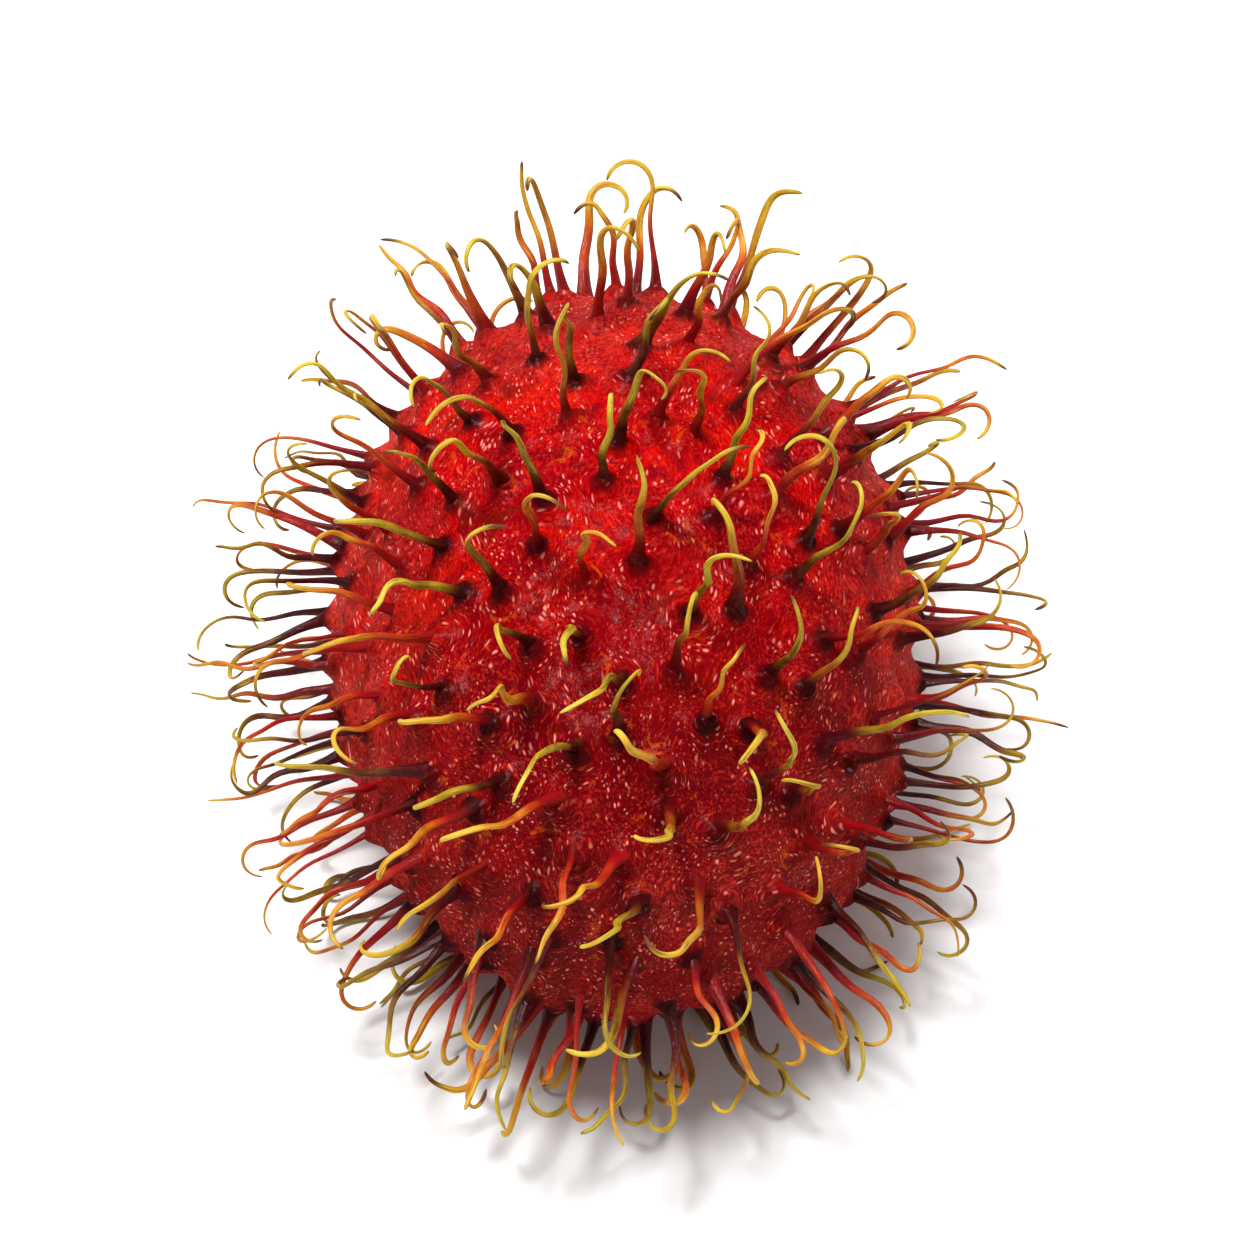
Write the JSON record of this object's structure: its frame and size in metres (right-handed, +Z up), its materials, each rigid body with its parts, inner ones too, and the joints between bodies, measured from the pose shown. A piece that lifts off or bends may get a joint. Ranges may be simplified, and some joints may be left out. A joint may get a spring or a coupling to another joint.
{
  "type": "rambutan",
  "caption": "Whole red rambutan lying on its side, its rind grown out into soft, hooked, yellow-tipped spinterns.",
  "frame": {"origin": "on the surface that the fruit lies on, under the middle of the whole fruit's box", "axes": "+Z up; the fruit's long axis runs along Y, with the stem scar at +Y and the blossom end at -Y, towards the viewer"},
  "size_m": [0.0562, 0.0672, 0.0444],
  "materials": {
    "rind": "finely grained waxy skin, crimson, flecked with pale dashes, with a soft moist sheen",
    "spinterns": "soft fleshy hair, crimson at the root, turning olive yellow, with brown tips",
    "stem_scar": "dry corky scar where the stalk broke off"
  },
  "bodies": {
    "root": {"rambutan": "rind"}
  },
  "joints": []
}
